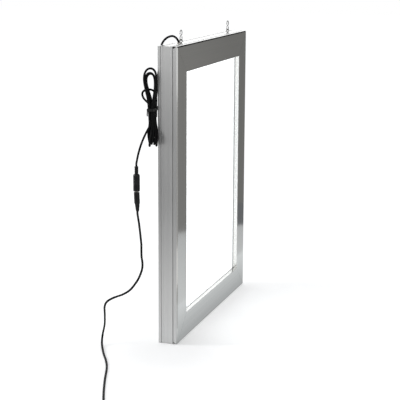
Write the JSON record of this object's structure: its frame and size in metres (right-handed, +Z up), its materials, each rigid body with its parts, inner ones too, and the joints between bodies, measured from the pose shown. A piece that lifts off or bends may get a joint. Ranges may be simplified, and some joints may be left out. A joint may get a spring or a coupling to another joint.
{
  "type": "light box",
  "caption": "Edge lit LED light box in a snap open aluminium frame, with hanging hooks, a tied lead with an inline plug, and a coiled supply cord with its wall adapter.",
  "frame": {"origin": "bottom centre of the frame, at the middle of its depth, on the surface it stands on", "axes": "+Z up, -Y out of the lit front, +X to the right seen from the front"},
  "size_m": [0.8927, 0.1596, 0.5176],
  "materials": {
    "satin_aluminium": "satin anodised, fine lines along the bar",
    "bright_aluminium": "bright anodised, near mirror",
    "zinc": "bright zinc plate",
    "spring_steel": "polished strip",
    "clear_plastic": "clear acrylic",
    "opal": "satin opal, lit from behind",
    "reflector": "white film",
    "board": "white solder mask",
    "foam": "closed cell foam",
    "panel_grey": "fine grained sheet",
    "black_pvc": "soft black cable jacket",
    "black_plastic": "moulded, slight sheen",
    "nickel": "nickel plate"
  },
  "bodies": {
    "light_box": {"adapter_body": "black_plastic", "adapter_pin_far": "nickel", "adapter_pin_near": "nickel", "adapter_relief": "black_plastic", "back_panel": "panel_grey", "back_screw_bottom": "zinc", "back_screw_left": "zinc", "back_screw_right": "zinc", "back_screw_top": "zinc", "base_bottom": "satin_aluminium", "base_left": "satin_aluminium", "base_right": "satin_aluminium", "base_top": "satin_aluminium", "cable_gland": "nickel", "clear_cover": "clear_plastic", "coil_tie": "black_plastic", "corner_key_bottom_left": "zinc", "corner_key_bottom_right": "zinc", "corner_key_top_left": "zinc", "corner_key_top_right": "zinc", "dc_jack": "black_plastic", "eye_bolt_left": "zinc", "eye_bolt_right": "zinc", "eye_nut_left": "zinc", "eye_nut_right": "zinc", "gland_nut": "nickel", "hank_tie": "black_plastic", "inner_lead": "black_pvc", "jack_pin": "nickel", "lead_drop": "black_pvc", "lead_hank": "black_pvc", "lead_junction": "black_plastic", "lead_top": "black_pvc", "led_strip_bottom": "board", "led_strip_top": "board", "light_guide": "clear_plastic", "opal_panel": "opal", "panel_clip_bottom": "zinc", "panel_clip_high": "zinc", "panel_clip_low": "zinc", "pressure_foam": "foam", "reflector": "reflector", "snap_spring_bottom": "spring_steel", "snap_spring_left": "spring_steel", "snap_spring_right": "spring_steel", "snap_spring_top": "spring_steel", "supply_coil": "black_pvc", "supply_head": "black_pvc", "supply_lead": "black_pvc", "supply_tail": "black_pvc", "wire_bottom": "black_pvc", "wire_top": "black_pvc"},
    "rail_top": {"rail_top": "bright_aluminium"},
    "rail_bottom": {"rail_bottom": "bright_aluminium"},
    "rail_left": {"rail_left": "bright_aluminium"},
    "rail_right": {"rail_right": "bright_aluminium"},
    "hook_left": {"s_hook_left": "zinc"},
    "hook_right": {"s_hook_right": "zinc"},
    "supply_plug": {"dc_plug": "black_plastic", "plug_barrel": "nickel"}
  },
  "joints": [
    {"name": "open_left_rail", "type": "hinge", "parent": "light_box", "child": "rail_left", "pos_m": [-0.1846, -0.01, 0.248], "axis": [0, 0, -1], "range_deg": [0, 90]},
    {"name": "open_right_rail", "type": "hinge", "parent": "light_box", "child": "rail_right", "pos_m": [0.1846, -0.01, 0.248], "axis": [0, 0, 1], "range_deg": [0, 90]},
    {"name": "open_top_rail", "type": "hinge", "parent": "light_box", "child": "rail_top", "pos_m": [0, -0.01, 0.4941], "axis": [-1, 0, 0], "range_deg": [0, 90]},
    {"name": "open_bottom_rail", "type": "hinge", "parent": "light_box", "child": "rail_bottom", "pos_m": [0, -0.01, 0.0019], "axis": [1, 0, 0], "range_deg": [0, 90]},
    {"name": "swing_left_hook", "type": "hinge", "parent": "light_box", "child": "hook_left", "pos_m": [-0.124, 0, 0.50205], "axis": [-0.1736, 0.9848, 0], "range_deg": [-60, 85]},
    {"name": "swing_right_hook", "type": "hinge", "parent": "light_box", "child": "hook_right", "pos_m": [0.124, 0, 0.50205], "axis": [0.0698, 0.9976, 0], "range_deg": [-85, 85]},
    {"name": "pull_plug", "type": "slide", "parent": "light_box", "child": "supply_plug", "axis": [0, 0, -1], "range_m": [0, 0.009], "deforming": ["supply_head"]}
  ]
}
